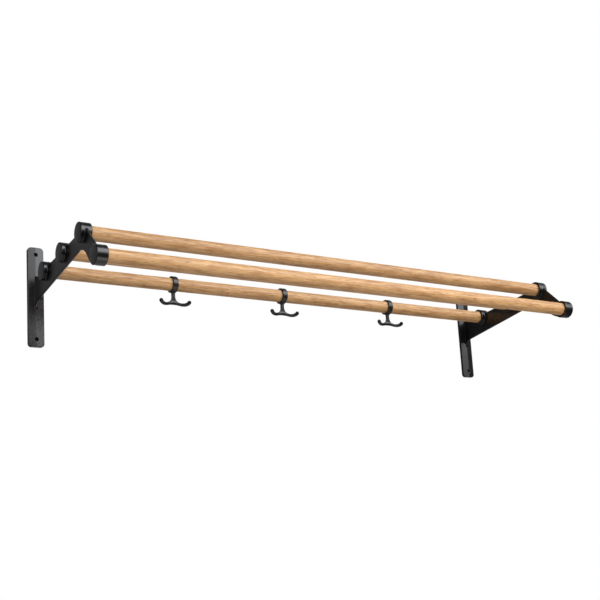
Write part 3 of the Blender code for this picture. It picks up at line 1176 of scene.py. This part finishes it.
@dataclass
class Hook:
    """One coat hook: a ring on the rear rod, a flared stem and two prongs that turn up."""

    layout: Layout
    node: str
    body: Body
    ring_gap: float = 0.0004
    ring_wall: float = 0.0031
    ring_width: float = 0.0107
    ring_edge: float = 0.0013
    stem_width: float = 0.0068
    stem_thickness: float = 0.0044
    stem_length: float = 0.0193
    stem_flare: float = 0.0125
    stem_round: float = 0.0010
    prong_diameter: float = 0.0054
    tip_diameter: float = 0.0072
    prong_reach: float = 0.0280
    prong_low_at: float = 0.0190
    prong_dip: float = 0.0032
    prong_rise: float = 0.0012
    prong_forward: float = 0.0085
    prong_turn: float = math.radians(76)
    foot_share: float = 0.4
    fillet: float = 0.0018
    steps: int = 12
    cell: float = 0.00056

    @property
    def bore(self) -> float:
        """Return the radius of the ring's bore."""
        return self.layout.rod_radius + self.ring_gap

    @property
    def drop(self) -> float:
        """Return how far the prongs' middle line passes below the rod's."""
        return self.bore + self.ring_wall + self.stem_length

    def dip(self, share: float) -> float:
        """Return how far a prong has dipped at a share of the way to its lowest point."""
        return self.prong_dip * math.sin(math.pi / 2 * share) ** 2

    def prong_point(self, across: float, down: float) -> tuple[np.ndarray, float]:
        """Return a point of the prong's middle line and the radius there.

        Args:
            across: Distance from the hook's middle plane.
            down: Depth below the middle of the prongs.

        Returns:
            The point from the rod's middle line, and the radius.
        """
        share = across / self.prong_reach
        diameter = self.prong_diameter + (self.tip_diameter - self.prong_diameter) * share**2
        return np.array((across, -self.prong_forward * share**2, -self.drop - down)), diameter / 2

    @cached_property
    def prong_path(self) -> list[tuple[np.ndarray, float]]:
        """Return one prong's middle line: it dips away from the stem, then turns up to its tip."""
        path = []
        for step in range(self.steps + 1):
            share = step / self.steps
            path.append(self.prong_point(self.prong_low_at * share, self.dip(share)))
        run = (self.prong_reach - self.prong_low_at) / math.sin(self.prong_turn)
        rise = (self.prong_dip + self.prong_rise) / (1 - math.cos(self.prong_turn))
        for step in range(1, self.steps + 1):
            angle = self.prong_turn * step / self.steps
            down = self.prong_dip - rise * (1 - math.cos(angle))
            path.append(self.prong_point(self.prong_low_at + run * math.sin(angle), down))
        return path

    @cached_property
    def stem_outline(self) -> np.ndarray:
        """Return the stem's outline in the XZ plane, from inside the ring to its foot in the prongs."""
        half = self.stem_width / 2
        foot = half + self.stem_flare
        low = -self.drop
        dip = self.dip(foot / self.prong_low_at)
        sunk = self.prong_diameter * self.foot_share
        high = -self.bore - self.ring_wall / 2
        return rounded_outline([
            (Vector((-foot, low - dip)), 0),
            (Vector((foot, low - dip)), 0),
            (Vector((foot, low - dip + sunk)), 0),
            (Vector((half, low + sunk)), self.stem_flare),
            (Vector((half, high)), 0),
            (Vector((-half, high)), 0),
            (Vector((-half, low + sunk)), self.stem_flare),
            (Vector((-foot, low - dip + sunk)), 0),
        ])

    def prongs(self, x: np.ndarray, y: np.ndarray, z: np.ndarray) -> np.ndarray:
        """Return the distance to both prongs, whose tips are round.

        Args:
            x: Place along the rod from the hook's middle plane.
            y: Place along Y from the rod's middle line.
            z: Place along Z from the rod's middle line.

        Returns:
            Signed distance.
        """
        best = np.full(np.broadcast(x, y, z).shape, np.inf)
        for (start, thin), (end, thick) in zip(self.prong_path, self.prong_path[1:]):
            run = end - start
            from_start = [place - first for place, first in zip((np.abs(x), y, z), start)]
            share = sum(part * step for part, step in zip(from_start, run))
            share = np.clip(share / (run @ run), 0, 1)
            gap = sum((part - share * step) ** 2 for part, step in zip(from_start, run))
            best = np.minimum(best, np.sqrt(gap) - thin - (thick - thin) * share)
        return best

    def distance(self, x: np.ndarray, y: np.ndarray, z: np.ndarray) -> np.ndarray:
        """Return the distance to the hook, from the rod's middle line.

        Args:
            x: Place along the rod from the hook's middle plane.
            y: Place along Y from the rod's middle line.
            z: Place along Z from the rod's middle line.

        Returns:
            Signed distance.
        """
        across = np.hypot(y, z) - self.bore
        wall = np.abs(across - self.ring_wall / 2) - self.ring_wall / 2
        ring = common_round(wall, np.abs(x) - self.ring_width / 2, self.ring_edge)
        stem = outline_distance(self.stem_outline, x, z)
        stem = common_round(stem, np.abs(y) - self.stem_thickness / 2, self.stem_round)
        solid = union_round(union_round(ring, stem, self.fillet), self.prongs(x, y, z), self.fillet)
        return np.maximum(solid, -across)

    def skin(self) -> Skin:
        """Return the hook's skin about the rod's middle line."""
        top = self.bore + self.ring_wall
        wide = self.prong_reach + self.tip_diameter
        low = np.array((-wide, -top, -self.drop - self.prong_dip - self.tip_diameter / 2))
        high = np.array((wide, top, top))
        return SurfaceNet(self.cell).skin(self.distance, low, high)

    def build(self, skin: Skin, coat: bpy.types.Material) -> bpy.types.Object:
        """Make this hook and put it in place of its CAD node.

        Args:
            skin: The skin that all hooks share.
            coat: The finish.

        Returns:
            The hook.
        """
        low, high = self.layout.box(self.node)
        axis = self.layout.axis(RodPlace.REAR)
        shift = (float(low[0] + high[0]) / 2, axis.x, axis.y)
        piece = skin.to_object(f"{self.node}_casting", shift, coat)
        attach(piece, self.body.value)
        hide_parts(self.node)
        return piece


@dataclass(frozen=True)
class PhotoCamera:
    """The photograph's camera, as fitted to the shelf's edges and measured in pixels of the photograph."""

    place: Place = (-1.08933, -1.82733, -0.54525)
    yaw: float = 0.558429
    pitch: float = 0.194400
    roll: float = -0.059323
    focal_pixels: float = 1104.444
    centre_row: float = 381.25
    sensor: float = 36.0

    def build(self) -> bpy.types.Object:
        """Make the camera and return it."""
        data = bpy.data.cameras.new("photo_camera")
        data.sensor_width = self.sensor
        data.lens = self.focal_pixels * self.sensor / PHOTO_PIXELS
        data.shift_y = (self.centre_row - PHOTO_PIXELS / 2) / PHOTO_PIXELS
        ahead = Vector((
            math.sin(self.yaw) * math.cos(self.pitch),
            math.cos(self.yaw) * math.cos(self.pitch),
            math.sin(self.pitch),
        ))
        level = Vector((math.cos(self.yaw), -math.sin(self.yaw), 0))
        above = level.cross(ahead)
        right = level * math.cos(self.roll) + above * math.sin(self.roll)
        up = above * math.cos(self.roll) - level * math.sin(self.roll)
        turn = Matrix((right, up, -ahead)).transposed().to_4x4()
        camera = new_object("photo_camera", data)
        camera.matrix_world = Matrix.Translation(self.place) @ turn
        bpy.context.scene.camera = camera
        return camera


@dataclass(frozen=True)
class Softbox:
    """A large soft lamp that faces a point of the shelf."""

    name: str
    place: Place
    target: Place
    width: float
    height: float
    power: float
    colour: Colour = (1.0, 1.0, 1.0)

    def build(self) -> bpy.types.Object:
        """Make the lamp and return it."""
        data = bpy.data.lights.new(self.name, "AREA")
        data.shape = "RECTANGLE"
        data.size = self.width
        data.size_y = self.height
        data.energy = self.power
        data.color = self.colour
        aim = Vector(self.target) - Vector(self.place)
        turn = aim.to_track_quat("-Z", "Y").to_matrix().to_4x4()
        lamp = new_object(self.name, data)
        lamp.matrix_world = Matrix.Translation(self.place) @ turn
        lamp.visible_camera = False
        return lamp


@dataclass(frozen=True)
class Studio:
    """A pale floor, a white surround and soft lamps."""

    floor_level: float = -1.15
    floor_radius: float = 1.9
    floor_clear: float = 0.7
    floor_sides: int = 96
    floor_tone: Colour = (0.60, 0.60, 0.60)
    floor_white: float = 0.42
    floor_roughness: float = 0.8
    cloud_scale: float = 1.5
    cloud_detail: float = 2.0
    cloud_share: float = 0.97
    fill_level: float = 0.20
    room_level: float = 0.06
    glow_level: float = 0.14
    glow_limits: Limits = (0.30, 0.65)
    backdrop_limits: Limits = (0.72, 0.97)
    backdrop_way: Place = (0.50, 0.84, 0.21)
    key_target: Place = (0.20, -0.15, 0.0)
    key_colour: Colour = (0.965, 0.98, 1.0)
    bounce_colour: Colour = (1.0, 0.90, 0.78)

    @property
    def lamps(self) -> tuple[Softbox, ...]:
        """Return the key with its brighter core, two cards and the warm panel below."""
        key = {"target": self.key_target, "colour": self.key_colour}
        left = {"target": (-0.30, -0.10, 0.0)}
        below = {"target": (0.05, -1.14, 0.0), "colour": self.bounce_colour}
        behind = {"target": (0.0, -0.15, 0.0)}
        return (
            Softbox("key_softbox", (0.81, -1.85, 1.30), width=3.0, height=1.98, power=42.0, **key),
            Softbox("key_core", (0.796, -1.812, 1.271), width=2.65, height=1.65, power=47.5, **key),
            Softbox("fill_card", (-1.60, -1.85, 0.45), width=1.8, height=1.4, power=14.0, **left),
            Softbox("bounce_panel", (0.05, -1.14, -1.10), width=1.4, height=0.75, power=6.0, **below),
            Softbox("back_card", (0.40, 2.00, 1.50), width=2.2, height=1.4, power=14.0, **behind),
        )

    def floor_material(self) -> bpy.types.Material:
        """Return the floor's finish, partly white of itself to the eye and in reflections."""
        material, graph = new_material("studio_floor")
        place = graph.add("ShaderNodeTexCoord", result="Object")
        cloud = graph.noise(place, (self.cloud_scale,) * 3, self.cloud_detail)
        clouded = tuple(self.cloud_share * part for part in self.floor_tone)
        tone = graph.blend(cloud, self.floor_tone, clouded)
        sockets = {"Base Color": tone, "Roughness": self.floor_roughness}
        lit = graph.add("ShaderNodeBsdfPrincipled", None, sockets)
        white = graph.add("ShaderNodeEmission", None, {"Color": WHITE, "Strength": 1.0})
        pale = graph.mixed(graph.rays(BACKDROP_RAYS) * self.floor_white, lit, white)
        reach = graph.length(graph.vector("MULTIPLY", place, (1.0, 1.0, 0.0)))
        fade = graph.ramp(reach, self.floor_clear, self.floor_radius)
        faded = graph.mixed(fade, pale, graph.add("ShaderNodeBsdfTransparent"))
        graph.node("ShaderNodeOutputMaterial", None, {"Surface": faded})
        return material

    def build_floor(self) -> bpy.types.Object:
        """Make the round floor, which fades out towards its rim, and return it."""
        turns = [math.tau * step / self.floor_sides for step in range(self.floor_sides)]
        rim = [(self.floor_radius * math.cos(turn), self.floor_radius * math.sin(turn)) for turn in turns]
        mesh = bpy.data.meshes.new("studio_floor")
        mesh.from_pydata([(x, y, self.floor_level) for x, y in rim], [], [tuple(range(self.floor_sides))])
        mesh.materials.append(self.floor_material())
        floor = new_object("studio_floor", mesh)
        return floor

    def build_world(self) -> bpy.types.World:
        """Make the surround and return it.

        The eye sees white, and reflections see a white backdrop in a dim room.
        Other light from it is soft and even.

        Returns:
            The world.
        """
        world = bpy.data.worlds.new("studio_world")
        world.use_nodes = True
        graph = Graph(world.node_tree)
        way = graph.add("ShaderNodeTexCoord", result="Generated")
        facing = graph.vector("DOT_PRODUCT", way, self.backdrop_way, "Value")
        glow = self.room_level + graph.ramp(facing, *self.glow_limits) * self.glow_level
        rest = 1.0 - self.room_level - self.glow_level
        backdrop = glow + graph.ramp(facing, *self.backdrop_limits) * rest
        seen = graph.rays(BACKDROP_RAYS[:1])
        mirrored = graph.rays(BACKDROP_RAYS[1:])
        strength = seen + mirrored * backdrop + (1.0 - seen - mirrored) * self.fill_level
        surround = graph.add("ShaderNodeBackground", None, {"Color": WHITE, "Strength": strength})
        graph.node("ShaderNodeOutputWorld", None, {"Surface": surround})
        bpy.context.scene.world = world
        return world

    def build(self) -> None:
        """Make the floor, the surround and the lamps."""
        self.build_floor()
        self.build_world()
        for lamp in self.lamps:
            lamp.build()
        bpy.context.scene.view_settings.view_transform = "Standard"


def log_piece(piece: bpy.types.Object) -> None:
    """Log a finished piece with its triangle count."""
    triangles = sum(len(face.vertices) - 2 for face in piece.data.polygons)
    log.info("%s: %d triangles", piece.name, triangles)


def oak_rods(layout: Layout) -> tuple[Rod, ...]:
    """Return the four rods, each with its own cut and knots, and a tone that is painted light: brighter
    copies of the same oak for the rods that the lamps leave darker.

    Args:
        layout: Where the frame puts the rods.

    Returns:
        The rods from the wall outwards.
    """
    rear_knots = (
        Knot(along=-0.308, rise=-0.95, length=0.007, width=0.005),
        Knot(along=-0.139, rise=-0.80, length=0.010, width=0.004),
        Knot(along=0.054, rise=-0.75, length=0.011, width=0.004),
    )
    top_knots = (Knot(along=0.377, rise=0.25, length=0.009, width=0.004),)
    front_knots = (
        Knot(along=-0.343, rise=0.10, length=0.012, width=0.003),
        Knot(along=0.248, rise=-0.40, length=0.012, width=0.003),
    )
    # The tones are painted light: the rear, middle and front rods are brightened, the middle rod most, as
    # it lies in the top rod's shade.
    return (
        Rod(
            layout, RodPlace.REAR, turn=0.4, pith=(0.034, 0.020), shift=0.31,
            tone=(1.04, 1.07, 1.10), knots=rear_knots,
        ),
        Rod(layout, RodPlace.MIDDLE, turn=1.9, pith=(0.045, -0.012), shift=1.27, tone=(1.20, 1.21, 1.22)),
        Rod(layout, RodPlace.TOP, turn=3.3, pith=(0.026, 0.031), shift=2.43, knots=top_knots),
        Rod(
            layout, RodPlace.FRONT, turn=5.1, pith=(0.040, 0.008), shift=3.71,
            tone=(1.12, 1.14, 1.16), knots=front_knots,
        ),
    )


def main() -> None:
    """Build the camera, the studio and every piece of the shelf."""
    logging.basicConfig(level=logging.INFO, format="%(message)s")
    PhotoCamera().build()
    Studio().build()
    layout = Layout.from_frame()
    coat = PowderCoat("bracket_powder_coat").material()
    brackets = [Bracket(layout, side) for side in Side]
    casting = brackets[-1].skin()
    for bracket in brackets:
        log_piece(bracket.build(casting, coat))
    tree = RodTree()
    for rod in oak_rods(layout):
        log_piece(rod.build(tree))
    coat = PowderCoat("hook_powder_coat", roughness=HOOK_ROUGHNESS).material()
    hooks = (
        Hook(layout, "hook_left", Body.LEFT_HOOK),
        Hook(layout, "hook_centre", Body.CENTRE_HOOK),
        Hook(layout, "hook_right", Body.RIGHT_HOOK),
    )
    casting = hooks[0].skin()
    for hook in hooks:
        log_piece(hook.build(casting, coat))


if __name__ == "__main__":
    main()
